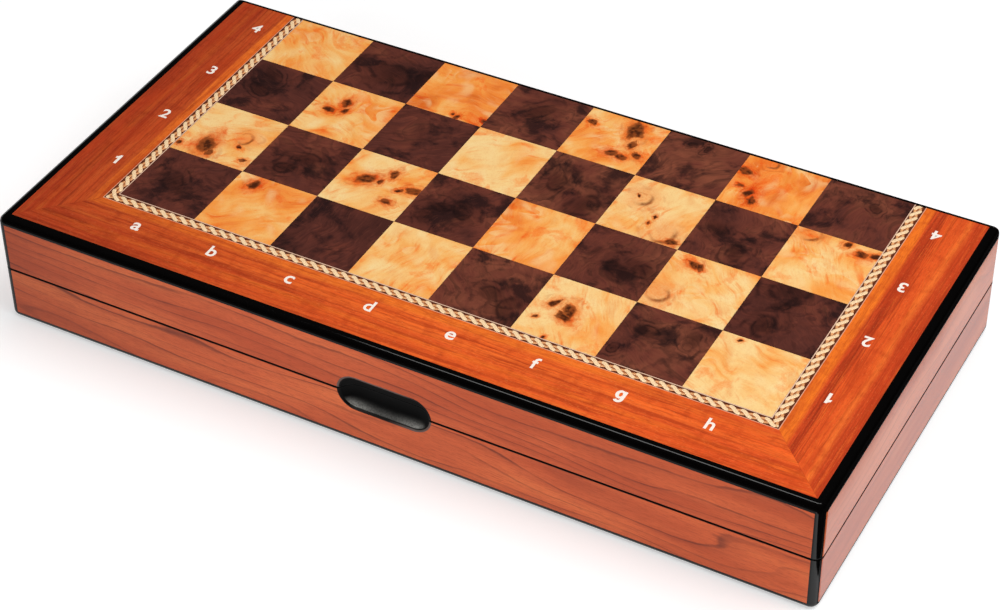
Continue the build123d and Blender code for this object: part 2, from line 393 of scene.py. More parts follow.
@takes({"Place": ORIGIN, "Seed": 0.0} | dict.fromkeys(EYES, ORIGIN))
def burl_figure(g, given):
    """Burl figure: clouds, streaks and hairs that run each leaf's own way, folds with painted light and shade,
    stains, and ringed eyes.
    """
    leaf = g.vector("ADD", given["Place"], g.combine(0.0, 0.0, given["Seed"]))
    curl = g.wander(g.wander(leaf, 1 / 30, 18.0), 1 / 12, 5.0, 0.0)
    near = g.wander(leaf, 1 / 5, 1.6)
    marks = {}
    for label in EYES:
        for mark, value in g.group(burl_eye, {"Place": near, "Eye": given[label]}).items():
            marks[mark] = g.larger(marks[mark], value) if mark in marks else value
    bump = g.vector("ADD", curl, g.combine(0.0, 0.0, marks["Halo"] * 4.0))
    here = g.noise(bump, 1 / 15, 1.0, 0.4)
    beside = g.noise(g.vector("ADD", bump, (1.3, 0.9, 0.0)), 1 / 15, 1.0, 0.4)
    step = g.math("FRACT", here * 6.5)
    way = g.turned(given["Seed"] * 2.4)
    along = g.dot(curl, way)
    across = g.dot(curl, g.vector("CROSS_PRODUCT", way, (0.0, 0.0, 1.0))) + marks["Halo"] * 5.0
    depth = given["Seed"] + here * 3.0
    return marks | {
        "Cloud": g.noise(curl, 1 / 19, 2.0, 0.45),
        "Streak": g.drawn_out(along, 16.0, across, 3.0, depth, 3.0, 0.55),
        "Hair": g.drawn_out(along, 7.0, across, 0.8, depth, 3.0, 0.6),
        # Painted light and shade of folds: a height less the same height a little aside, lighter on one side of each
        # fold
        "Fold": 0.5 + (here - beside) * 5.0,
        "Crest": step.between(0.2, 0.96) * step.between(1.0, 0.955),
        "Stain": g.noise(bump, 1 / 14, 4.0, 0.6),
        "Fine": g.noise(g.vector("MULTIPLY", curl, (1.0, 0.5, 1.0)), 1 / 1.1, 3.0, 0.65),
    }


@takes({"Place": ORIGIN, "Spacing": 2.5, "Share": 0.3})
def pin_specks(g, given):
    """Small scattered dots, as pin knots and open pores."""
    cell = g.outputs("ShaderNodeTexVoronoi", {"Vector": given["Place"], "Scale": 1.0 / given["Spacing"]})
    kept = g.separate(cell["Color"])[0] < given["Share"]
    return {"Mask": cell["Distance"].between(0.16, 0.05) * kept}


@takes({"Along": 0.0, "Across": 0.0, "Leaf": 0.0, "Ring Gap": 6.0, "Ring Length": 130.0,
        "Ring Breadth": 24.0, "Drift": 3.0, "Wave": 0.0})
def veneer_grain(g, given):
    """Straight or cathedral grain: rings, broad bands, fibre and open pores, from mm along and across."""
    along, leaf = given["Along"], given["Leaf"]
    bend = g.drawn_out(along, 6.5, given["Across"], 9.0, leaf, 1.0)
    across = given["Across"] + (bend - 0.5) * given["Wave"]

    def drawn_out(length, breadth, detail, roughness=0.5):
        return g.drawn_out(along, length, across, breadth, leaf, detail, roughness)

    slow = drawn_out(given["Ring Length"], given["Ring Breadth"], 1.5, 0.4)
    tremble = drawn_out(9.0, 4.0, 2.0)
    level = across / given["Ring Gap"] + ((slow - 0.5) * given["Drift"] + (tremble - 0.5) * 0.12)
    fraction = g.math("FRACT", level)
    closing = fraction.between(1.0, 0.95)
    line = g.larger(fraction.between(0.35, 0.95, 0.0, 0.3) * closing, fraction.between(0.8, 0.93) * closing)
    shade = g.add("ShaderNodeTexWhiteNoise", {"W": g.math("FLOOR", level)}, "Value", noise_dimensions="1D")
    strength = shade.between(0.0, 0.8, 0.45, 1.0) * drawn_out(40.0, 6.0, 2.0).between(0.3, 0.6, 0.4, 1.0)
    return {
        "Rings": line * strength, "Bands": drawn_out(70.0, 2.6, 3.0, 0.55),
        "Fibre": drawn_out(7.0, 0.6, 4.0, 0.65), "Streaks": drawn_out(20.0, 1.3, 3.0, 0.6),
        "Pores": drawn_out(3.2, 0.3, 2.0).between(0.56, 0.7), "Ripple": drawn_out(5.0, 11.0, 2.0),
    }


@takes({"Place": ORIGIN, "Roughness": 0.12})
def lacquer_film(g, given):
    """The skin of a worn gloss lacquer: a faint ripple, fine dust and a little change of gloss."""
    place = given["Place"]
    haze = g.noise(place, 1 / 45, 2.0).between(0.35, 0.7, -0.02, 0.03, "LINEAR")
    dust = g.group(pin_specks, {"Place": place, "Spacing": 9.0, "Share": 0.16})["Mask"]
    return {"Height": g.noise(place, 1 / 5.5, 1.0) + dust * 0.6,
            "Roughness": given["Roughness"] + haze + dust * 0.12}


@takes({"Place": ORIGIN, "Reach": 1.6})
def edge_wear(g, given):
    """Rubbing along the case's outer edges and along the split line, as a mask."""
    x, y, z = g.separate(given["Place"])
    from_split = abs(z - split_mm)
    gaps = (case_half_mm - abs(x), -case_front_mm - abs(y), split_mm - from_split)
    lowest = g.math("MINIMUM", gaps[0], g.math("MINIMUM", gaps[1], gaps[2]))
    highest = g.larger(gaps[0], g.larger(gaps[1], gaps[2]))
    second = gaps[0] + (gaps[1] + gaps[2]) - lowest - highest
    wear_and_painted_highlight = g.larger(second.between(given["Reach"], 0.0), from_split.between(0.55, 0.2))
    return {"Mask": wear_and_painted_highlight * g.noise(given["Place"], 1 / 11, 4.0, 0.65).between(0.45, 0.72)}


def new_material(name, build, **values):
    """A material whose Principled shader takes what build gives: its inputs, a bump height and its depth."""
    material = bpy.data.materials.new(name)
    material.use_nodes = True
    g = Graph(material.node_tree)
    place = g.scaled(g.add("ShaderNodeTexCoord", output="Object"), 1 / MM)
    made = build(g, place, **values)
    height, depth = made.pop("bump")
    made["Normal"] = g.add("ShaderNodeBump", {"Height": height, "Strength": 1.0, "Distance": depth})
    g.fill(material.node_tree.nodes["Principled BSDF"], made)
    return material


def under_lacquer(g, place, base, roughness, relief, depth_mm):
    """Inputs of a veneer under clear gloss lacquer."""
    film = g.group(lacquer_film, {"Place": place, "Roughness": roughness})
    return {"Base Color": base, "Roughness": film["Roughness"], "IOR": 1.5,
            "bump": (relief + film["Height"] * 0.5, depth_mm * MM)}


def black_lacquer(g, place):
    """Gloss black lacquer, faintly worn at the edges. The recess is satin, with painted highlights on its lip and
    low in its scoop, and painted shade along the split across it.
    """
    x, y, z = g.separate(place)
    rise = z - split_mm
    past = g.larger(abs(x) - RECESS_RUN, 0.0)
    radius = g.length(g.combine(past, rise))
    inwards = y - case_front_mm
    lip_edge = RECESS_RADIUS + RECESS_LIP
    scoop = radius.between(lip_edge + 0.2, lip_edge) * inwards.between(RECESS_INNER + 2.0, RECESS_INNER)
    # Painted highlight along the lip of the recess: on the upper half towards the left, on the lower half towards
    # the right.
    lit = g.blend(rise > 0.0, x.between(0.0, 14.0), x.between(18.0, 6.0))
    lip = radius.between(RECESS_RADIUS + 0.1, RECESS_RADIUS + 0.4) * lit
    film = g.group(lacquer_film, {"Place": place, "Roughness": 0.08})
    wear = g.group(edge_wear, {"Place": place, "Reach": 1.2})["Mask"]
    facing_x, _, facing_z = g.separate(g.add("ShaderNodeNewGeometry", output="Normal"))
    beside_veneer = rise.between(side_veneer_top_mm + 0.1, side_veneer_top_mm - 0.1)
    sideways = abs(facing_x).between(0.8, 0.97) * beside_veneer
    rough = g.blend(sideways, g.blend(scoop, film["Roughness"], 0.7) + wear * 0.14, 1.0)
    grain = g.noise(place, 1 / 0.8, 4.0, 0.7).between(0.3, 0.65, 0.4, 1.0)
    ends = abs(x).between(3.0, 16.0, 0.35, 1.0)
    # Painted highlight: the scoop turns grey where it faces up, most near its mouth and towards both ends, broken up
    # by fine noise.
    wear_and_painted_highlight = scoop * facing_z.between(0.5, 0.95) * (grain * ends) * inwards.between(4.4, 0.8, 0.08, 1.0)
    # Painted shade of the gap between the halves where the split crosses the scoop: near black, and less glossy.
    parting = scoop * abs(rise).between(0.75, 0.55)
    base = g.layered(chosen("lacquer"), (wear * 0.5, "#1C1715"), (scoop * lip, "#62504A"),
                     (wear_and_painted_highlight, "#A8A6A0"), (parting, "#020202"))
    return {"Base Color": base, "Roughness": g.blend(parting, rough, 0.6), "IOR": 1.5,
            "bump": (film["Height"], 0.012 * MM)}


def side_veneer(g, place, long_axis, leaf, rim, rim_colour, figure, left_end, upper_tone):
    """Red-brown side veneer: dark cathedral lines, painted shade darkening its left end, and at the split a dark
    line that is painted shade of the gap between the halves.
    """
    parts = g.separate(place)
    along, z = parts[long_axis], parts[2]
    upper = z > split_mm
    own = leaf + upper * 5.0
    grain = g.group(veneer_grain, {"Along": along, "Across": z + along * 0.03, "Leaf": own,
                                   "Ring Gap": g.blend(upper, 8.5, 6.0), "Ring Length": 130.0,
                                   "Ring Breadth": 28.0, "Drift": 6.0})
    tone = g.drawn_out(along, 90.0, z, 15.0, own, 2.0) + upper * upper_tone
    even = 0.2 * (1 - figure)
    # Painted shade: a long side grows darker towards its left end, with the given tint.
    shade = along.between(-case_half_mm, -case_half_mm * 0.35, 0.0, 1.0, "LINEAR")
    # Painted shade of the gap between the halves: the veneer darkens to the rim colour next to the split, and its
    # gloss is dulled there.
    split_shade = abs(z - split_mm).between(rim, rim * 0.8)
    base = g.layered(
        g.ramp(tone, (0.3, "#C0522C"), (0.5, "#D46236"), (0.8, "#EC7C46")),
        (grain["Fibre"].between(0.42, 0.72, even, even + 0.42 * figure), "#9A3C1E"),
        (grain["Streaks"].between(0.5, 0.75, 0.0, 0.3 * figure), "#A2442A"),
        (grain["Rings"] * (0.7 * figure), "#54221A"),
        (grain["Pores"] * (0.3 * figure), "#6A2814"),
        (1.0, g.mix(shade, left_end, WHITE), "MULTIPLY"),
        (split_shade, rim_colour))
    finish = under_lacquer(g, place, base, 0.12, grain["Pores"] * -0.6, 0.012 * figure)
    return finish | {"Roughness": g.blend(split_shade, finish["Roughness"], 0.85)}


def outside_squares(x, y):
    """How far, in mm, a point lies beside the squares and in front of them."""
    return abs(x) - field_half_mm, field_front_mm - y


def border_veneer(g, place):
    """Red-orange border veneer. Its stripes keep their distance from the squares and turn at the mitres."""
    x, y, z = g.separate(place)
    beside, before = outside_squares(x, y)
    in_front = before > beside
    across = g.larger(before, beside)
    along = g.blend(in_front, y, x)
    half = (z > split_mm) * 7.0
    leaf = half + in_front * 3.3
    grain = g.group(veneer_grain, {"Along": along, "Across": across, "Leaf": leaf, "Ring Gap": 5.0,
                                   "Ring Length": 210.0, "Ring Breadth": 30.0, "Drift": 2.2, "Wave": 0.8})
    bands, streaks = grain["Bands"], grain["Streaks"]
    stray = g.drawn_out(along, 60.0, across, 9.0, half, 2.0)
    stripe = (across + (stray - 0.5) * 3.4).between(0.0, 35.0, 0.0, 1.0, "LINEAR")
    innermost = stripe.between(0.31, 0.27)

    def spots(length, breadth, detail):
        return g.drawn_out(along, length, across, breadth, leaf, detail, 0.6)

    base = g.ramp(stripe, (0.0, "#F46E22"), (0.27, "#FF7E2C"), (0.315, "#F8702C"), (0.42, "#FC6A2A"),
                  (0.52, "#FF742E"), (0.66, "#EA5E28"), (0.735, "#F8722A"), (0.79, "#F26628"),
                  (0.9, "#EC5E28"), (1.0, "#F4682A"))
    right = g.ramp(stripe, (0.0, "#FF8428"), (0.28, "#FF8428"), (0.34, "#DE5426"), (0.43, "#C04420"),
                   (0.5, "#EE6028"), (0.7, "#F0662A"), (0.76, "#FA7C32"), (0.83, "#DC5426"), (1.0, "#D04A22"))
    right = g.mix(1.0, right, (0.98, 0.88, 0.95, 1.0), "MULTIPLY")
    on_right = (x > 0.0) * (1.0 - in_front)
    calm = g.blend(on_right, 1.0, 0.5)
    faded = in_front * x.between(field_half_mm * 0.4, field_half_mm)
    band = stripe.between(0.28, 0.35) * stripe.between(0.64, 0.5)
    band = g.larger(band, stripe.between(0.8, 0.88, 0.0, 0.7))
    dark = band * on_right * spots(24.0, 0.9, 4.0).between(0.45, 0.6)
    # Painted shade: the border grows darker and redder towards the left end, less so in its innermost stripe away
    # from the front left corner.
    from_corner = x + y - (field_front - field_half) / MM
    shade = g.larger(x.between(-case_half_mm, -case_half_mm * 0.05, 0.0, 1.0, "LINEAR"),
                     innermost * from_corner.between(10.0, 60.0, 0.5, 0.85))
    base = g.layered(
        base,
        (on_right, right),
        (faded * innermost, "#E65E28"),
        (bands.between(0.5, 0.7, 0.0, 0.65) * calm, "#B03C1A"),
        (bands.between(0.45, 0.28, 0.0, 0.5) * calm, "#FF8430"),
        (streaks.between(0.5, 0.72, 0.0, 0.4) * calm, "#9A3014"),
        (streaks.between(0.44, 0.28, 0.0, 0.3), "#FF8432"),
        (dark * 0.55, "#8C2C18"),
        (spots(5.0, 1.2, 3.0).between(0.5, 0.72, 0.0, 0.35), "#B43A1A"),
        (spots(1.3, 0.5, 2.0).between(0.56, 0.74, 0.0, 0.35), "#FF9650"),
        (grain["Rings"] * 0.3, "#7A2410"),
        (grain["Fibre"].between(0.5, 0.74, 0.0, 0.35), "#962C10"),
        (grain["Pores"] * 0.25, "#70200C"),
        (grain["Ripple"].between(0.5, 0.72, 0.0, 0.3), "#B03A18"),
        # Painted shade towards the left end
        (1.0, g.mix(shade, (0.54, 0.45, 0.74, 1.0), WHITE), "MULTIPLY"),
        (spots(30.0, 9.0, 3.0).between(0.46, 0.6) * g.blend(in_front, 0.3, 0.12), "#C03E1C"),
        (in_front * x.between(60.0, 190.0), (0.97, 0.86, 0.92, 1.0), "MULTIPLY"),
        (abs(beside - before).between(0.16, 0.05) * 0.2, "#5A1C0E"))
    return under_lacquer(g, place, base, 0.07, grain["Pores"] * -0.5, 0.008)


def leaf_figure(g, place):
    """The burl figure of a square, from the attributes of its leaf."""
    given = {label: g.attribute(label.lower().replace(" ", "_"), "Vector") for label in EYES}
    return g.group(burl_figure, {"Place": place, "Seed": g.attribute("seed")} | given)


def light_burl(g, place):
    """Cream to golden burl with brown eyes."""
    figure = leaf_figure(g, place)
    fold_shading, streak, hair, halo, heart = (figure[word] for word in ("Fold", "Streak", "Hair", "Halo", "Heart"))
    value = figure["Cloud"] * 1.6 + streak * 0.55 - 0.97 + g.attribute("tone")
    broad = g.noise(place, 1 / 17, 1.0)
    combed = g.noise(place, 1 / 13, 1.0, output="Color").between(0.48, 0.6, 0.1, 1.0)
    nearness = g.larger(combed, halo)
    speckle = g.noise(place, 1 / 0.55, 2.0, 0.6)
    rough = speckle.between(0.35, 0.6, 0.7, 1.0)
    mottle = g.noise(place, 1 / 2.4, 2.0, 0.5).between(0.36, 0.6, 0.35, 0.95)
    base = g.layered(
        g.ramp(value, (0.0, "#FFD690"), (0.28, "#FFBE6C"), (0.52, "#FFA34A"), (0.76, "#F88C3A"),
               (1.0, "#E4742A")),
        (figure["Crest"] * broad.between(0.54, 0.66, 0.05, 0.45), "#FFE0A0"),
        # Painted highlight and shade of the folds: paler on one side, more orange on the other
        (fold_shading.between(0.56, 0.95, 0.0, 0.4), "#FFE2A6"),
        (fold_shading.between(0.42, 0.08, 0.0, 0.3), "#F08C34"),
        (streak.between(0.52, 0.74) * broad.between(0.42, 0.6, 0.1, 0.6), "#FA9C50", "MULTIPLY"),
        (hair.between(0.48, 0.76, 0.0, 0.38) * nearness, "#F2984C", "MULTIPLY"),
        (hair.between(0.44, 0.26, 0.0, 0.3) * nearness, "#FFE4AC"),
        (figure["Fine"].between(0.5, 0.8, 0.0, 0.2), "#DC7A30"),
        (speckle.between(0.5, 0.72, 0.0, 0.2), "#E89450", "MULTIPLY"),
        (figure["Stain"].between(0.56, 0.64) * rough * 0.5, "#FFAA62", "MULTIPLY"),
        (halo * rough * 0.75, "#FFA85A", "MULTIPLY"),
        (halo ** 2.5 * figure["Stain"].between(0.36, 0.58, 0.2, 1.0) * 0.7, "#DC8040", "MULTIPLY"),
        (figure["Lines"] * g.noise(place, 1 / 6, 1.0).between(0.46, 0.6, 0.0, 0.3), "#C07038", "MULTIPLY"),
        (figure["Rim"] * 0.85, "#864620"),
        (heart.between(0.05, 0.5, 0.0, 0.8), "#944A20"),
        (heart.between(0.3, 1.0) * mottle, "#452010"))
    return under_lacquer(g, place, base, 0.07, figure["Fine"] * 0.2, 0.008)


def dark_burl(g, place):
    """Dark red-brown burl with nearly black smoky patches and rings round its eyes."""
    figure = leaf_figure(g, place)
    cloud, streak, hair = (figure[word] for word in ("Cloud", "Streak", "Hair"))
    value = cloud * 0.8 + streak * 0.5 + g.attribute("tone") * 2.0
    base = g.layered(
        g.ramp(value, (0.42, "#4C2822"), (0.58, "#5E3129"), (0.72, "#70392D"), (0.94, "#884B37")),
        (figure["Crest"] * cloud.between(0.44, 0.6, 0.05, 0.6) * 0.5, "#201416"),
        (figure["Stain"].between(0.47, 0.66, 0.0, 0.8), "#1E1416"),
        (streak.between(0.5, 0.7, 0.0, 0.5), "#2A1818"),
        (hair.between(0.5, 0.72, 0.0, 0.22), "#2A1817"),
        (hair.between(0.44, 0.28, 0.0, 0.2), "#844A38"),
        (figure["Halo"] * 0.25, "#2C1815"),
        (figure["Lines"] * g.noise(place, 1 / 8, 2.0).between(0.44, 0.6, 0.08, 0.6), "#1C1112"),
        (figure["Heart"] * 0.4, "#1A0D0C"))
    return under_lacquer(g, place, base, 0.07, figure["Fine"] * 0.2, 0.008)


def strand_wood(g, place):
    """Strands of the braid: cream where they lie on top, and tan where they pass under."""
    fine = g.noise(place, 1 / 0.35, 3.0)
    top = g.mix(g.attribute("aside").between(0.7, 1.0, 0.0, 0.4), chosen("strand_over"), "#F6C090")
    base = g.layered(chosen("strand_under"), (g.attribute("over").between(0.4, 0.5), top),
                     (fine.between(0.4, 0.75, 0.0, 0.12), "#C4804E"))
    return under_lacquer(g, place, base, 0.15, fine, 0.004)


def distance_from_squares(g, place):
    """How far, in mm, a point of the playing face lies outside the squares."""
    x, y, _ = g.separate(place)
    beside, before = outside_squares(x, y)
    return g.larger(before, beside)


def inlay_ground(g, place):
    """Ground under the braid: orange-brown in the middle, where the strands lie, and dark at both sides."""
    off = abs(distance_from_squares(g, place) - (string_mm + band_mm / 2))
    fine = g.noise(place, 1 / 0.4, 3.0)
    base = g.layered("#B0683C", (off.between(0.7, 1.5), chosen("inlay_ground")),
                     (fine.between(0.4, 0.75, 0.0, 0.4), "#5A2816"))
    return under_lacquer(g, place, base, 0.15, fine, 0.004)


def string_wood(g, place):
    """Strings beside the braid: a pale line between dark ones, pinker and further out in the outer string."""
    away = distance_from_squares(g, place)
    inner = away - string_mm / 2
    outer = away - (band_mm + string_mm * 1.5 + 0.1)
    off = g.math("MINIMUM", abs(inner), abs(outer))
    fine = g.noise(place, 1 / 0.5, 3.0)
    outermost = away.between(string_mm + band_mm / 2, string_mm + band_mm)
    pale = g.layered(chosen("string"), (fine.between(0.35, 0.75, 0.0, 0.4), "#B87850"),
                     (outermost * 0.6, "#E88C68"))
    base = g.mix(off.between(0.2, 0.26), pale, "#501E10")
    return under_lacquer(g, place, base, 0.15, fine, 0.003)


def plywood(g, place):
    """Sanded birch plywood: plain on its faces, with its plies at the edges."""
    x, y, z = g.separate(place)
    grain = g.group(veneer_grain, {"Along": x, "Across": y, "Ring Gap": 13.0, "Drift": 5.0})
    ply = g.math("PINGPONG", z, 0.65).between(0.3, 0.36)
    base = g.layered(g.ramp(grain["Bands"], (0.3, "#D9B888"), (0.7, "#C49B66")),
                     (grain["Rings"] * 0.4, "#A67C4C"), (ply * (abs(y) > PANEL_EDGE) * 0.5, "#8C6238"))
    return {"Base Color": base, "Roughness": grain["Fibre"].between(0.2, 0.8, 0.5, 0.75),
            "bump": (grain["Fibre"], 0.04 * MM)}


def felt_cloth(g, place):
    """Short green pile: matted fibres, a little lint, and a soft sheen."""
    fibre = g.noise(g.wander(place, 1 / 2.2, 2.4, 2.0), 1 / 0.32, 4.0, 0.7)
    mat = g.noise(place, 1 / 16, 3.0)
    lint = g.group(pin_specks, {"Place": place, "Spacing": 7.0, "Share": 0.12})["Mask"]
    base = g.layered("#12281C", (fibre.between(0.3, 0.7), chosen("felt")),
                     (mat.between(0.4, 0.7, 0.0, 0.4), "#2E5540"), (lint * 0.4, "#7C8A80"))
    return {"Base Color": base, "Roughness": fibre.between(0.2, 0.8, 0.85, 1.0), "Sheen Weight": 0.2,
            "Sheen Roughness": 0.5, "bump": (fibre + mat * 0.6, 0.25 * MM)}


def rolled_metal(g, place, plain, tarnish):
    """Rolled metal: fine lines along its length, and a little tarnish."""
    x, y, z = g.separate(place)
    lines = g.noise(g.combine(x / 14.0, y / 0.1, z / 0.1), 1.0, 3.0)
    cloud = g.noise(place, 1 / 3.5, 4.0, 0.6)
    return {"Base Color": g.mix(cloud.between(0.48, 0.75, 0.0, 0.7), plain, tarnish), "Metallic": 1.0,
            "Roughness": lines.between(0.3, 0.7, 0.2, 0.34) + cloud.between(0.5, 0.8, 0.0, 0.2),
            "bump": (lines, 0.006 * MM)}


def printed_white(g, place):
    """White print, slightly worn through in pin-points."""
    mottle = g.noise(place, 1 / 0.8, 3.0)
    specks = g.group(pin_specks, {"Place": place, "Spacing": 1.4, "Share": 0.08})["Mask"]
    base = g.layered(chosen("figures"), (mottle.between(0.45, 0.8, 0.0, 0.25), "#E9D3C4"),
                     (specks * 0.5, "#D9A58A"))
    return {"Base Color": base, "Roughness": mottle.between(0.3, 0.7, 0.3, 0.42),
            "bump": (mottle, 0.003 * MM)}


def finish_nodes(material, *endings):
    """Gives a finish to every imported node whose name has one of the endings."""
    for name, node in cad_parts.items():
        if name.endswith(endings):
            for slot in node.material_slots:
                slot.material = material


def linked(name, data):
    """A new object of the scene."""
    made = bpy.data.objects.new(name, data)
    bpy.context.scene.collection.objects.link(made)
    return made


def new_piece(name, mesh, half, material):
    """A finished piece that rides on a half and takes the finish it is given."""
    piece = linked(name, mesh)
    mesh.materials.clear()
    mesh.materials.append(material)
    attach(piece, half + "_half")
    return piece


def mesh_from(name, bm):
    mesh = bpy.data.meshes.new(name)
    bm.to_mesh(mesh)
    bm.free()
    return mesh


def evaluated_mesh(holder):
    """The plain mesh of an object with its modifiers or its curve worked out."""
    graph = bpy.context.evaluated_depsgraph_get()
    return bpy.data.meshes.new_from_object(holder.evaluated_get(graph), depsgraph=graph)


def to_half(mesh, half):
    """Puts a mesh drawn face up at height 0 on the playing face of a half, with its faces outwards."""
    if half == "upper":
        mesh.transform(Matrix.Translation((0, 0, case_height)))
    else:
        mesh.transform(Matrix.Scale(-1, 4, (0, 0, 1)))
        mesh.flip_normals()
    return mesh


def geometry_tree(name, inputs):
    """A Geometry Nodes tree, its graph and its input wires. It also takes geometry and a material."""
    tree = bpy.data.node_groups.new(name, "GeometryNodeTree")
    tree.interface.new_socket("Geometry", in_out="OUTPUT", socket_type="NodeSocketGeometry")
    for label, kind in ({"Geometry": "Geometry"} | inputs | {"Material": "Material"}).items():
        tree.interface.new_socket(label, in_out="INPUT", socket_type="NodeSocket" + kind)
    g = Graph(tree)
    return tree, g, g.outputs("NodeGroupInput")


def end_tree(g, geometry, material):
    """Makes the instances of a Geometry Nodes tree real, gives them their material and puts them out."""
    mesh = g.add("GeometryNodeRealizeInstances", {"Geometry": geometry})
    mesh = g.add("GeometryNodeSetMaterial", {"Geometry": mesh, "Material": material})
    g.place("NodeGroupOutput", {"Geometry": mesh})


def grown(base_mesh, tree, values):
    """The plain mesh that a Geometry Nodes tree makes of a mesh."""
    holder = linked("holder", base_mesh)
    modifier = holder.modifiers.new("grow", "NODES")
    modifier.node_group = tree
    for item in tree.interface.items_tree:
        if item.in_out == "INPUT" and item.name in values:
            modifier[item.identifier] = values[item.name]
    mesh = evaluated_mesh(holder)
    holder.modifiers.remove(modifier)
    bpy.data.objects.remove(holder)
    return mesh


def braid_tree():
    """Two strands that wind round each other along X, crossing at even distances."""
    lengths = ("Length", "Step", "Strand Width", "Under Width", "Strand Depth", "Spacing", "Swing", "Relief",
               "Hand", "Start")
    tree, g, given = geometry_tree("braid strands", dict.fromkeys(lengths, "Float"))
    line = g.add("GeometryNodeCurvePrimitiveLine", {"End": g.combine(given["Length"], 0.0)})
    line = g.add("GeometryNodeResampleCurve", {"Curve": line, "Length": given["Step"]}, mode="LENGTH")
    pair = g.outputs("GeometryNodeDuplicateElements", {"Geometry": line, "Amount": 2}, domain="SPLINE")
    side = 1.0 - pair["Duplicate Index"] * 2.0
    along = g.separate(g.add("GeometryNodeInputPosition"))[0]
    turn = (along + given["Start"]) / given["Spacing"] * math.pi
    # A sine with slightly flatter turns and steeper crossings, which swings less where a strand passes under
    wave = g.math("SINE", turn) + g.math("SINE", turn * 3.0) * 0.04
    rise = g.math("COSINE", turn) * side * -1.0
    over = 0.5 + rise * 0.5
    on_top = over.between(0.38, 0.6)
    sway = wave * side * (given["Hand"] * g.blend(on_top, 0.86, 1.0))
    moved = g.combine(along, sway * given["Swing"], rise * given["Relief"])
    curve = g.add("GeometryNodeSetPosition", {"Geometry": pair["Geometry"], "Position": moved})

    def noted(geometry, name, value):
        return g.add("GeometryNodeStoreNamedAttribute", {"Geometry": geometry, "Name": name, "Value": value},
                     data_type="FLOAT", domain="POINT")

    curve = g.add("GeometryNodeSetCurveNormal", {"Curve": noted(curve, "over", over)}, mode="Z_UP")
    ring = g.add("GeometryNodeCurvePrimitiveCircle", {"Resolution": 10, "Radius": 0.5}, mode="RADIUS")
    ring = noted(ring, "aside", abs(g.separate(g.add("GeometryNodeInputPosition"))[0]) * 2.0)
    flat = g.combine(given["Strand Width"], given["Strand Depth"], 1.0)
    ring = g.add("GeometryNodeTransform", {"Geometry": ring, "Scale": flat})
    share = g.blend(on_top, given["Under Width"] / given["Strand Width"], 1.0)
    mesh = g.add("GeometryNodeCurveToMesh", {"Curve": curve, "Profile Curve": ring, "Scale": share,
                                             "Fill Caps": True})
    end_tree(g, mesh, given["Material"])
    return tree


def chequer_tree():
    """One slab of veneer on each point, with the point's own size."""
    tree, g, given = geometry_tree("veneer squares", {"Slab": "Object"})
    slab = g.add("GeometryNodeObjectInfo", {"Object": given["Slab"]}, "Geometry")
    scale = g.add("GeometryNodeInputNamedAttribute", {"Name": "extent"}, 0, data_type="FLOAT_VECTOR")
    placed = g.add("GeometryNodeInstanceOnPoints",
                   {"Points": given["Geometry"], "Instance": slab, "Scale": scale})
    end_tree(g, placed, given["Material"])
    return tree


def slab_object():
    """A slab one unit wide and deep, face up at height 0. Its upper edges are eased as on a whole square."""
    ease = 0.06 * MM
    bm = bmesh.new()
    bmesh.ops.create_cube(bm, size=1.0)
    bmesh.ops.scale(bm, vec=(square, square, veneer_thickness), verts=bm.verts)
    bmesh.ops.translate(bm, vec=(0, 0, -veneer_thickness / 2), verts=bm.verts)
    top = [e for e in bm.edges if all(v.co.z > -1e-9 for v in e.verts)]
    bmesh.ops.bevel(bm, geom=top, offset=ease, segments=2, affect="EDGES", profile=0.5)
    bmesh.ops.scale(bm, vec=(1 / square, 1 / square, 1), verts=bm.verts)
    return linked("slab", mesh_from("slab", bm))


# Leaves of burl, by square: the shift of their tone, and their eyes as (right, up, radius) in squares.
# A negative radius is a hollow eye, which is a ring.
LIGHT_LEAVES = {
    "b1": (0.42, [(0.26, 0.85, 0.06)]),
    "d1": (0.2, []),
    "f1": (0.02, [(0.23, 0.58, 0.05), (0.43, 0.54, 0.07), (0.42, 0.41, 0.06), (0.14, 0.29, 0.025),
                  (0.38, 0.02, 0.02)]),
    "h1": (-0.06, [(0.23, 0.93, 0.02)]),
    "a2": (0.05, [(0.04, 0.14, 0.03), (0.35, 0.24, 0.1), (0.46, 0.13, 0.04), (0.69, 0.54, -0.09),
                  (0.72, 0.37, 0.03), (0.89, 0.17, 0.03)]),
    "c2": (0.04, [(0.33, 0.53, 0.075), (0.5, 0.56, 0.03), (0.58, 0.74, 0.05), (0.77, 0.5, 0.03),
                  (0.92, 0.57, 0.06), (0.74, 0.26, 0.045)]),
    "e2": (0.47, []),
    "g2": (0.08, [(0.27, 0.84, 0.05), (0.35, 0.83, 0.04), (0.12, 0.24, -0.12)]),
    "b3": (0.28, [(0.25, 0.49, 0.05), (0.38, 0.68, 0.055), (0.44, 0.54, 0.04)]),
    "d3": (0.0, []),
    "f3": (0.02, [(0.26, 0.66, -0.11), (0.21, 0.67, 0.02), (0.54, 0.41, 0.02), (0.52, 0.28, 0.02),
                  (0.74, 0.17, -0.13), (0.89, 0.08, 0.05)]),
    "h3": (0.22, [(0.18, 0.92, -0.1), (0.62, 0.94, 0.04), (0.82, 0.84, 0.05), (0.97, 0.88, 0.045)]),
    "a4": (0.22, []),
    "c4": (0.62, [(0.59, 0.08, 0.02), (0.66, 0.04, 0.03), (0.99, 0.1, 0.03)]),
    "e4": (0.32, [(0.12, 0.69, 0.045), (0.64, 0.76, 0.1), (0.72, 0.49, 0.05), (0.57, 0.25, 0.055),
                  (0.7, 0.23, 0.05), (0.85, 0.33, 0.05)]),
    "g4": (0.55, [(0.08, 0.64, 0.06), (0.29, 0.91, -0.08), (0.13, 0.37, 0.03), (0.27, 0.28, 0.05),
                  (0.36, 0.16, 0.05)]),
}
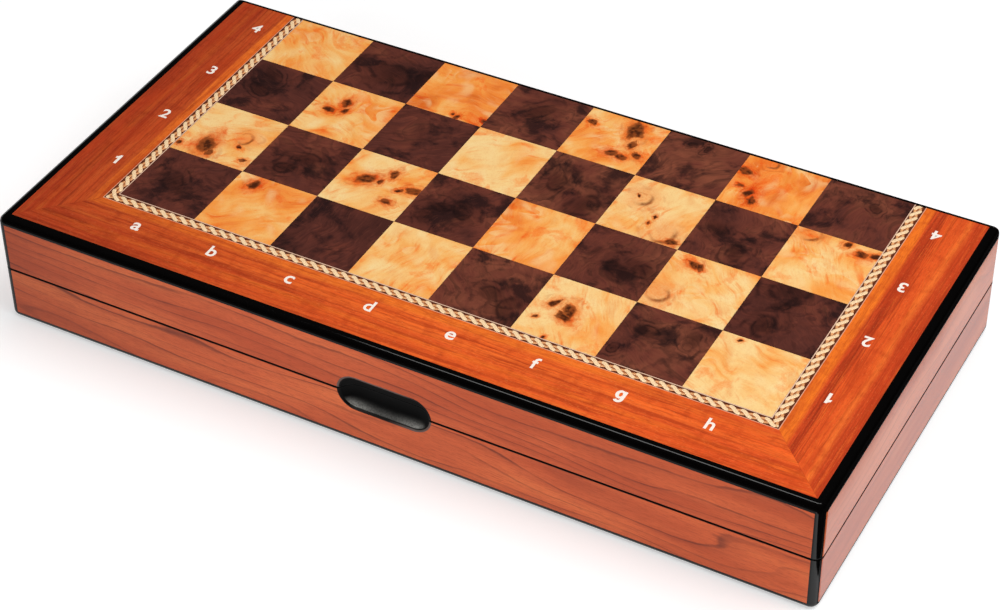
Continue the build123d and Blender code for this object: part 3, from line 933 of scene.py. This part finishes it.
DARK_LEAVES = {
    "a1": (0.0, [(0.43, 0.46, 0.12)]),
    "c1": (-0.05, []),
    "e1": (0.08, [(0.8, 0.27, 0.12), (0.56, 0.41, 0.1)]),
    "g1": (0.09, [(0.3, 0.62, 0.1), (0.8, 0.7, 0.08), (0.1, 0.2, 0.06)]),
    "b2": (0.0, [(0.54, 0.53, 0.12), (0.38, 0.28, 0.1)]),
    "d2": (0.03, [(0.25, 0.26, 0.1), (0.36, 0.47, 0.1), (0.59, 0.52, 0.12)]),
    "f2": (0.04, [(0.6, 0.39, 0.14), (0.8, 0.49, 0.14)]),
    "h2": (-0.02, [(0.38, 0.9, 0.15), (0.38, 0.64, 0.08), (0.35, 0.27, 0.12)]),
    "a3": (-0.02, [(0.29, 0.77, 0.1), (0.3, 0.46, 0.1)]),
    "c3": (-0.01, []),
    "e3": (0.1, [(0.74, 0.23, 0.14), (0.28, 0.47, 0.12)]),
    "g3": (0.04, [(0.57, 0.24, 0.1), (0.25, 0.53, 0.1)]),
    "b4": (0.01, [(0.58, 0.43, 0.2), (0.94, 0.57, 0.1)]),
    "d4": (0.08, [(0.49, 0.59, 0.12)]),
    "f4": (0.1, [(0.34, 0.83, 0.04), (0.53, 0.8, 0.04)]),
    "h4": (0.07, [(0.64, 0.68, 0.06)]),
}


def arc(centre, reach, first, last, count=10):
    """Points along an arc of an upright ellipse, between two angles in degrees."""
    angles = [math.radians(first + (last - first) * i / count) for i in range(count + 1)]
    return [(centre[0] + reach[0] * math.cos(a), centre[1] + reach[1] * math.sin(a)) for a in angles]


# Outlines of a figure one with a flag and of a single-storey g, in ems, and the font's height of capitals
CAP_HEIGHT = 0.69
DRAWN_GLYPHS = {
    "1": [[(0.21, 0.0), (0.32, 0.0), (0.32, 0.69), (0.235, 0.69), (0.2, 0.62), (0.15, 0.57), (0.08, 0.53),
           (0.08, 0.43), (0.15, 0.46), (0.21, 0.5)]],
    "g": [[(0.43, 0.449), *arc((0.235, -0.01), (0.195, 0.21), 0, -140),
           *arc((0.235, -0.01), (0.09, 0.115), -140, 0),
           *arc((0.215, 0.235), (0.185, 0.23), -53.5, -306.5, 20), (0.325, 0.449)],
          arc((0.232, 0.235), (0.093, 0.145), 0, 345, 23)],
}


def square_points(leaves, half):
    """A mesh of points, one for each leaf, with the leaf's place, size, seed, tone and eyes."""
    seam = sizes().seam
    first_seed = UNDERSIDE_SEED if half == "lower" else 0.0
    places = []
    noted = {label: [] for label in ("extent", "seed", "tone", *EYES)}
    for number, (name, (tone, spots)) in enumerate(leaves.items()):
        column, row = "abcdefgh".index(name[0]), int(name[1]) - 1
        if half == "lower":
            column = 7 - column
        low_x = -field_half + column * square
        low_y = field_front + row * square
        depth = min(square, field_high.y - low_y)
        places.append((low_x + square / 2, low_y + depth / 2, 0.0))
        noted["extent"].append((square - seam, depth - seam, 1.0))
        noted["seed"].append((SEED_STEP * (number + 1) + first_seed,))
        noted["tone"].append((tone,))
        for label, (u, v, r) in zip(EYES, spots):
            noted[label].append(((low_x + u * square) / MM, (low_y + v * square) / MM, r * square / MM))
        for label in EYES[len(spots):]:
            noted[label].append(ORIGIN)
    mesh = bpy.data.meshes.new("leaf points")
    mesh.from_pydata(places, [], [])
    for label, values in noted.items():
        kind, field = ("FLOAT", "value") if len(values[0]) == 1 else ("FLOAT_VECTOR", "vector")
        attribute = mesh.attributes.new(label.lower().replace(" ", "_"), kind, "POINT")
        attribute.data.foreach_set(field, [x for value in values for x in value])
    return mesh


def prism(bm, corners, low, high):
    """Adds a closed block over an outline of corners that runs anticlockwise."""
    bottom = [bm.verts.new((x, y, low)) for x, y in corners]
    top = [bm.verts.new((x, y, high)) for x, y in corners]
    bm.faces.new(top)
    bm.faces.new(bottom[::-1])
    for i in range(len(corners)):
        j = (i + 1) % len(corners)
        bm.faces.new((bottom[i], bottom[j], top[j], top[i]))


def strip_outline(side, inner, outer):
    """Corners of one mitred strip between two distances from the field's sides."""
    front_in, front_out = field_front - (inner - field_half), field_front - (outer - field_half)
    if side == "front":
        return [(-outer, front_out), (outer, front_out), (inner, front_in), (-inner, front_in)]
    if side == "right":
        return [(inner, front_in), (outer, front_out), (outer, band_high.y), (inner, band_high.y)]
    return [(-outer, front_out), (-inner, front_in), (-inner, band_high.y), (-outer, band_high.y)]


def cut(bm, point, normal):
    """Takes off what lies past a plane, and closes the mesh there."""
    bmesh.ops.bisect_plane(bm, geom=bm.verts[:] + bm.edges[:] + bm.faces[:], plane_co=point, plane_no=normal,
                           clear_outer=True)
    bmesh.ops.holes_fill(bm, edges=[e for e in bm.edges if e.is_boundary], sides=0)


def braid_strip(tree, side, material):
    """The two strands of one strip of the braid, face up at height 0 and cut to its mitres."""
    s = sizes()
    front_middle = field_front - (band_middle - field_half)
    if side == "front":
        long = 2 * (band_inner + band_width)
        first = long / 2 - field_half
        place = Matrix.Translation((-long / 2, front_middle, 0))
    else:
        long = band_high.y - front_middle + band_width
        first = band_width + field_front - front_middle
        x = band_middle - s.right_strip_inset if side == "right" else -band_middle
        place = Matrix.Translation((x, front_middle - band_width, 0)) @ Matrix.Rotation(math.pi / 2, 4, "Z")
    mesh = grown(bpy.data.meshes.new("seed"), tree, {
        "Length": long, "Step": 0.4 * MM, "Strand Width": s.strand_width, "Under Width": s.under_width,
        "Strand Depth": s.strand_depth, "Spacing": s.crossing_spacing, "Swing": s.strand_swing,
        "Relief": s.strand_relief, "Hand": -1.0 if side == "left" else 1.0, "Start": s.first_crossing - first,
        "Material": material})
    mesh.transform(Matrix.Translation((0, 0, -s.strand_depth / 2 - s.strand_relief)) @ place)
    bm = bmesh.new()
    bm.from_mesh(mesh)
    for corner, way in (("left", -1), ("right", 1)):
        point = (way * band_inner, field_front - string_width, 0)
        if side == "front":
            cut(bm, point, (way, 1, 0))
        elif side == corner:
            cut(bm, point, (-way, -1, 0))
    if side != "front":
        cut(bm, (0, band_high.y, 0), (0, 1, 0))
    bmesh.ops.recalc_face_normals(bm, faces=bm.faces)
    bm.to_mesh(mesh)
    bm.free()
    return mesh


def joined(name, meshes):
    """One mesh of several."""
    bm = bmesh.new()
    for mesh in meshes:
        bm.from_mesh(mesh)
    return mesh_from(name, bm)


def smooth(mesh, angle=None):
    """Shades a mesh smoothly, with sharp edges past an angle in degrees where one is given."""
    mesh.shade_smooth()
    if angle is not None:
        mesh.set_sharp_from_angle(angle=math.radians(angle))
    return mesh


class CaseOperator:
    """What the operators share. Each of them does its step for both halves of the case."""

    bl_options = {"REGISTER", "UNDO"}


class CHESSCASE_OT_stage(CaseOperator, bpy.types.Operator):
    """Sets the camera, the pale floor, the lamps and the white surroundings"""

    bl_idname = "chess_case.stage"
    bl_label = "Set the Stage"

    def execute(self, context):
        scene = context.scene
        scene.view_settings.view_transform = "Standard"
        camera = bpy.data.cameras.new("camera")
        camera.sensor_width = SENSOR_WIDTH_MM
        camera.lens = FOCAL_PX / FRAME_WIDTH_PX * SENSOR_WIDTH_MM
        camera.shift_x = (FRAME_WIDTH_PX / 2 - PRINCIPAL_PX[0]) / FRAME_WIDTH_PX
        camera.shift_y = (PRINCIPAL_PX[1] - FRAME_HEIGHT_PX / 2) / FRAME_WIDTH_PX
        scene.camera = linked("camera", camera)
        scene.camera.location = CAMERA_PLACE
        scene.camera.rotation_euler = [math.radians(turn) for turn in CAMERA_TURN_DEGREES]
        self.lamp("overhead", (0.7, 0.15, 1.3), (1.2, 1.2), 14.0, seen_in_gloss=False)
        self.lamp("fill", (0.1, -1.4, 0.6), (1.2, 0.8), 9.6, seen_in_gloss=False)
        self.lamp("strip", (-0.28, 0.68, 1.3), (0.75, 0.16), 1.3)
        self.floor()
        self.surroundings(scene)
        return {"FINISHED"}

    def lamp(self, name, place, extent, watts, seen_in_gloss=True):
        """A soft rectangular lamp that faces the middle of the case."""
        data = bpy.data.lights.new(name, "AREA")
        data.shape = "RECTANGLE"
        data.size, data.size_y = extent
        data.energy = watts
        lamp = linked(name, data)
        lamp.location = place
        lamp.rotation_euler = (-Vector(place)).to_track_quat("-Z", "Y").to_euler()
        lamp.visible_glossy = seen_in_gloss

    def floor(self):
        """A wide pale floor that keeps the case's shadow. Reflections see it bright only beside the case."""
        bm = bmesh.new()
        bmesh.ops.create_grid(bm, x_segments=8, y_segments=8, size=FLOOR_HALF)
        bmesh.ops.translate(bm, vec=(0, 0, -FLOOR_DROP), verts=bm.verts)
        floor = linked("floor", mesh_from("floor", bm))
        material = bpy.data.materials.new("pale floor")
        material.use_nodes = True
        material.node_tree.nodes.clear()
        g = Graph(material.node_tree)
        path = g.outputs("ShaderNodeLightPath")
        x, y, _ = g.separate(g.add("ShaderNodeTexCoord", output="Object"))
        # What the gloss of the sides and of the black edges mirrors, by its distance from the case in metres
        to_the_right = x.between(case_half - 0.012, case_half + 0.004)
        far_in_front = y.between(case_front - 0.12, case_front - 0.3)
        beside_case = x.between(case_half + 0.005, case_half + 0.014, 0.84, 0.94)
        past_veneer = x.between(case_half + 0.0179, case_half + 0.0186, 1.0, 0.02)
        mirrored = g.blend(to_the_right, 0.4, beside_case) * g.blend(far_in_front, 1.0, 0.05) * past_veneer
        whitened = g.larger(path["Is Camera Ray"], path["Is Transmission Ray"]) * 0.35
        tone = g.blend(path["Is Glossy Ray"], 0.82, 0.0)
        plain = g.add("ShaderNodeBsdfDiffuse", {"Color": g.combine(tone, tone, tone)})
        strength = g.blend(path["Is Glossy Ray"], whitened, mirrored)
        glow = g.add("ShaderNodeEmission", {"Color": WHITE, "Strength": strength})
        g.place("ShaderNodeOutputMaterial", {"Surface": g.add("ShaderNodeAddShader", {0: plain, 1: glow})})
        floor.data.materials.append(material)

    def surroundings(self, scene):
        """White to the camera. In reflections it is bright low behind and to the left, and dark elsewhere."""
        scene.world = bpy.data.worlds.new("surroundings")
        scene.world.use_nodes = True
        scene.world.node_tree.nodes.clear()
        g = Graph(scene.world.node_tree)
        path = g.outputs("ShaderNodeLightPath")
        x, y, z = g.separate(g.add("ShaderNodeTexCoord", output="Generated"))
        behind = y.between(-0.6, 0.1, 0.05, 1.0)
        glossy = z.between(0.32, 0.08, 0.02, 1.0) * behind * x.between(0.25, 0.5, 1.0, 0.05)
        strength = g.blend(path["Is Glossy Ray"], 0.32, glossy)
        strength = g.blend(g.larger(path["Is Camera Ray"], path["Is Transmission Ray"]), strength, 1.0)
        light = g.add("ShaderNodeBackground", {"Color": WHITE, "Strength": strength})
        g.place("ShaderNodeOutputWorld", {"Surface": light})


class CHESSCASE_OT_walls(CaseOperator, bpy.types.Operator):
    """Lacquers the walls"""

    bl_idname = "chess_case.walls"
    bl_label = "Lacquer the Walls"

    def execute(self, context):
        finish_nodes(new_material("black lacquer", black_lacquer), "_wall")
        return {"FINISHED"}


class CHESSCASE_OT_side_veneers(CaseOperator, bpy.types.Operator):
    """Finishes the veneers on the four sides"""

    bl_idname = "chess_case.side_veneers"
    bl_label = "Finish the Side Veneers"

    def execute(self, context):
        long_side = new_material("long side veneer", side_veneer, long_axis=0, leaf=3.0, rim=0.72,
                                 rim_colour="#0E0504", figure=1.0, left_end=(0.72, 0.69, 0.68, 1.0),
                                 upper_tone=-0.1)
        end = new_material("end veneer", side_veneer, long_axis=1, leaf=11.0, rim=0.8, rim_colour="#3A1008",
                           figure=0.3, left_end=WHITE, upper_tone=0.16)
        finish_nodes(long_side, "_front_veneer", "_back_veneer")
        finish_nodes(end, "_left_veneer", "_right_veneer")
        return {"FINISHED"}


class CHESSCASE_OT_borders(CaseOperator, bpy.types.Operator):
    """Finishes the mitred border veneers"""

    bl_idname = "chess_case.borders"
    bl_label = "Finish the Borders"

    def execute(self, context):
        finish_nodes(new_material("border veneer", border_veneer), "_border")
        return {"FINISHED"}


class CHESSCASE_OT_squares(CaseOperator, bpy.types.Operator):
    """Lays the light and dark squares, each cut from its own leaf of burl"""

    bl_idname = "chess_case.squares"
    bl_label = "Lay the Squares"

    def execute(self, context):
        slab = slab_object()
        tree = chequer_tree()
        for kind, leaves, figure in (("light", LIGHT_LEAVES, light_burl), ("dark", DARK_LEAVES, dark_burl)):
            burl = new_material(f"{kind} burl", figure)
            for half in HALVES:
                mesh = grown(square_points(leaves, half), tree, {"Slab": slab, "Material": burl})
                piece = new_piece(f"{half}_{kind}_burl_squares", to_half(mesh, half), half,
                                  burl)
                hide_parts(f"{half}_{kind}_squares")
        bpy.data.objects.remove(slab)
        return {"FINISHED"}


class CHESSCASE_OT_braid(CaseOperator, bpy.types.Operator):
    """Lays the braid inlay: a dark ground and two strands in three mitred strips on each half"""

    bl_idname = "chess_case.braid"
    bl_label = "Lay the Braid Inlay"

    def execute(self, context):
        tree = braid_tree()
        wood = new_material("braid strands", strand_wood)
        ground_wood = new_material("inlay ground", inlay_ground)
        for half in HALVES:
            strands = joined(half + " strands", [braid_strip(tree, side, wood) for side in SIDES])
            piece = new_piece(half + "_braid_strands", smooth(to_half(strands, half)), half, wood)
            bm = bmesh.new()
            for side in SIDES:
                prism(bm, strip_outline(side, band_inner, band_inner + band_width), -veneer_thickness,
                      -sizes().ground_depth)
            ground = to_half(mesh_from(half + " ground", bm), half)
            new_piece(half + "_braid_ground", ground, half, ground_wood)
            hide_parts(half + "_banding")
        return {"FINISHED"}


class CHESSCASE_OT_strings(CaseOperator, bpy.types.Operator):
    """Finishes the pale strings beside the braid"""

    bl_idname = "chess_case.strings"
    bl_label = "Finish the Strings"

    def execute(self, context):
        finish_nodes(new_material("string wood", string_wood), "_stringing")
        return {"FINISHED"}


class CHESSCASE_OT_figures(CaseOperator, bpy.types.Operator):
    """Prints the file letters and rank figures round the squares"""

    bl_idname = "chess_case.figures"
    bl_label = "Print the Figures"

    def execute(self, context):
        ink = new_material("printed white", printed_white)
        for half in HALVES:
            whole = joined(half + " figures", [self.glyph(half, *entry) for entry in self.entries(half)])
            new_piece(half + "_border_figures", to_half(whole, half), half, ink)
        return {"FINISHED"}

    def entries(self, half):
        """Each glyph of a half, with its size, its place, its turn and its middle, seen face up."""
        s = sizes()
        for file, letter in enumerate("abcdefgh"):
            em = (s.low_letter_height if letter in "aceg" else s.letter_height) / CAP_HEIGHT
            x = -field_half + (file + 0.5) * square
            yield letter, em, (x, field_front - s.letter_line), half == "lower", 0.0
        for rank in range(4):
            digit = str(rank + 1 if half == "upper" else 8 - rank)
            em = s.figure_height / CAP_HEIGHT
            y = field_front + (rank + RANK_PLACE) * square
            for way, turned in ((-1, False), (1, True)):
                yield digit, em, (way * (field_half + s.figure_line), y), turned, s.figure_height / 2

    def glyph(self, half, text, em, place, turned, middle):
        """One glyph as a thin flat mesh. On the lower half it is drawn as the face is seen from below."""
        s = sizes()
        if text in DRAWN_GLYPHS:
            curve = bpy.data.curves.new("glyph", "CURVE")
            curve.dimensions = "2D"
            curve.fill_mode = "BOTH"
            for outline in DRAWN_GLYPHS[text]:
                spline = curve.splines.new("POLY")
                spline.points.add(len(outline) - 1)
                spline.points.foreach_set("co", [v for x, y in outline for v in (x * em, y * em, 0, 1)])
                spline.use_cyclic_u = True
        else:
            curve = bpy.data.curves.new("glyph", "FONT")
            curve.body = text
            curve.size = em
            curve.resolution_u = 6
        curve.offset = s.print_weight
        curve.extrude = s.print_thickness / 2
        holder = linked("glyph", curve)
        mesh = evaluated_mesh(holder)
        bpy.data.objects.remove(holder)
        xs = [v.co.x for v in mesh.vertices]
        centre = Matrix.Translation((-(min(xs) + max(xs)) / 2, -middle, s.print_thickness / 2))
        turn = Matrix.Rotation(math.pi if turned else 0.0, 4, "Z")
        mirror = Matrix.Scale(-1 if half == "lower" else 1, 4, (0, 1, 0))
        mesh.transform(Matrix.Translation((*place, 0)) @ mirror @ turn @ centre)
        if half == "lower":
            mesh.flip_normals()
        return mesh


class CHESSCASE_OT_felt(CaseOperator, bpy.types.Operator):
    """Glues a sheet of felt to the inner side of each panel"""

    bl_idname = "chess_case.felt"
    bl_label = "Line with Felt"

    def execute(self, context):
        cloth = new_material("green felt", felt_cloth)
        for half in HALVES:
            low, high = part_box(half + "_felt")
            glued, open_side = (high.z, low.z) if half == "upper" else (low.z, high.z)
            mesh = self.sheet_mesh(half, low, high, glued, open_side)
            piece = new_piece(half + "_felt_lining", mesh, half, cloth)
            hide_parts(half + "_felt")
        return {"FINISHED"}

    def sheet_mesh(self, half, low, high, glued, open_side):
        """A closed sheet: flat where it is glued, and slightly uneven on its pile side and at its edges."""
        wave = sizes().felt_wave
        inwards = 1 if glued > open_side else -1
        cell, ripple, swell = 3.5 * MM, 6 * MM, 31 * MM
        columns, rows = round((high.x - low.x) / cell), round((high.y - low.y) / cell)
        bm = bmesh.new()
        grid = {}
        for layer in ("pile", "glue"):
            for i in range(columns + 1):
                for j in range(rows + 1):
                    x = low.x + (high.x - low.x) * i / columns
                    y = low.y + (high.y - low.y) * j / rows
                    rough = noise.noise(Vector((x, y, 1.7)) / ripple)
                    rough += noise.noise(Vector((x, y, 4.1)) / swell)
                    at_side, at_end = i in (0, columns), j in (0, rows)
                    z = glued
                    if layer == "pile":
                        z = open_side + inwards * wave * (0.5 + 0.25 * rough + 2.0 * (at_side or at_end))
                        x -= math.copysign(0.4 * wave * (1 + rough), x) * at_side
                        y -= math.copysign(0.4 * wave * (1 + rough), y) * at_end
                    grid[layer, i, j] = bm.verts.new((x, y, z))
        for i in range(columns):
            for j in range(rows):
                corners = ((i, j), (i + 1, j), (i + 1, j + 1), (i, j + 1))
                for layer in ("pile", "glue"):
                    bm.faces.new([grid[layer, a, b] for a, b in corners])
        rim = [(i, 0) for i in range(columns)] + [(columns, j) for j in range(rows)]
        rim += [(i, rows) for i in range(columns, 0, -1)] + [(0, j) for j in range(rows, 0, -1)]
        for a, b in zip(rim, rim[1:] + rim[:1]):
            bm.faces.new([grid["glue", *a], grid["glue", *b], grid["pile", *b], grid["pile", *a]])
        bmesh.ops.recalc_face_normals(bm, faces=bm.faces)
        return smooth(mesh_from(half + " felt", bm), 50)


class CHESSCASE_OT_panels(CaseOperator, bpy.types.Operator):
    """Finishes the plywood panels under the playing faces"""

    bl_idname = "chess_case.panels"
    bl_label = "Finish the Panels"

    def execute(self, context):
        finish_nodes(new_material("plywood", plywood), "_panel")
        return {"FINISHED"}


class CHESSCASE_OT_hardware(CaseOperator, bpy.types.Operator):
    """Finishes the brass hinges, pins and screws, and the nickelled magnets"""

    bl_idname = "chess_case.hardware"
    bl_label = "Finish the Hardware"

    def execute(self, context):
        brass = new_material("brass", rolled_metal, plain=chosen("brass"), tarnish="#8A6430")
        nickel = new_material("nickelled steel", rolled_metal, plain=chosen("nickel"), tarnish="#8F8C86")
        finish_nodes(brass, "_hinge_leaf", "_hinge_pin", "_hinge_screws")
        finish_nodes(nickel, "_magnets")
        return {"FINISHED"}


STEPS = (
    CHESSCASE_OT_stage, CHESSCASE_OT_walls, CHESSCASE_OT_side_veneers, CHESSCASE_OT_borders,
    CHESSCASE_OT_squares, CHESSCASE_OT_braid, CHESSCASE_OT_strings, CHESSCASE_OT_figures,
    CHESSCASE_OT_felt, CHESSCASE_OT_panels, CHESSCASE_OT_hardware,
)


class CHESSCASE_PT_panel(bpy.types.Panel):
    """Lists the steps that finish the chess case, and its sizes and colours"""

    bl_idname = "CHESSCASE_PT_panel"
    bl_label = "Chess Case"
    bl_space_type = "VIEW_3D"
    bl_region_type = "UI"
    bl_category = "Chess Case"

    def draw(self, context):
        for step in STEPS:
            self.layout.operator(step.bl_idname)
        for group in (context.scene.chess_case_sizes, context.scene.chess_case_colours):
            box = self.layout.box()
            for name in group.bl_rna.properties.keys():
                if name not in ("rna_type", "name"):
                    box.prop(group, name)


CLASSES = (ChessCaseSizes, ChessCaseColours, *STEPS, CHESSCASE_PT_panel)


def register():
    for one in CLASSES:
        bpy.utils.register_class(one)
    bpy.types.Scene.chess_case_sizes = PointerProperty(type=ChessCaseSizes)
    bpy.types.Scene.chess_case_colours = PointerProperty(type=ChessCaseColours)


def unregister():
    del bpy.types.Scene.chess_case_colours
    del bpy.types.Scene.chess_case_sizes
    for one in reversed(CLASSES):
        bpy.utils.unregister_class(one)


def main():
    """Finishes the whole case."""
    register()
    for step in STEPS:
        category, action = step.bl_idname.split(".")
        getattr(getattr(bpy.ops, category), action)()


if __name__ == "__main__":
    main()
